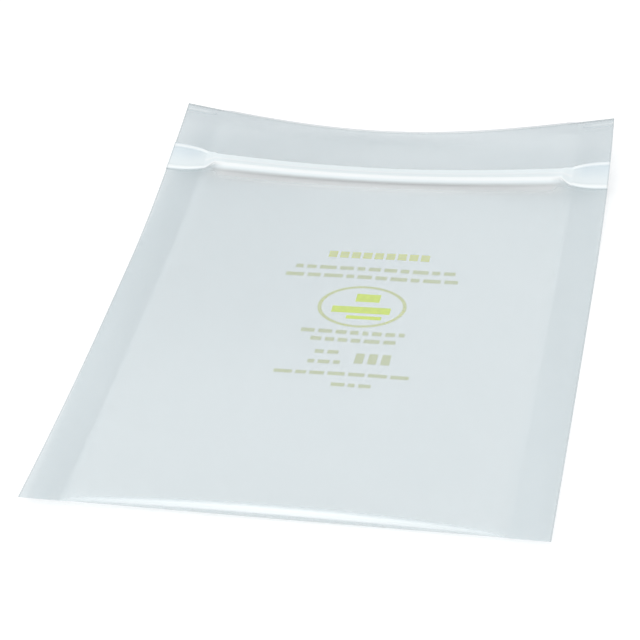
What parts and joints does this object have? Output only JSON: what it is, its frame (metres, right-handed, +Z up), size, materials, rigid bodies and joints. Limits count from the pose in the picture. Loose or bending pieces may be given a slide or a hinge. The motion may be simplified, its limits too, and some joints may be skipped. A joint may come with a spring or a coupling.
{
  "type": "static dissipative zip bag",
  "caption": "Flat translucent dissipative film bag with a folded bottom, welded sides and a press-to-close zip below an open lip.",
  "frame": {"origin": "under the middle of the bag, on the surface it lies on", "axes": "+Y from the folded bottom edge to the open lip, +X across the front panel to the right, +Z up out of the front panel"},
  "size_m": [0.122, 0.178, 0.0103],
  "materials": {
    "film": "translucent satin film, 0.1 mm a layer",
    "zip": "milky extruded strip",
    "ink": "thin pale yellow-green print"
  },
  "bodies": {
    "root": {"film_pouch": "film", "zip_rib_strip": "zip", "zip_groove_strip": "zip"}
  },
  "joints": []
}
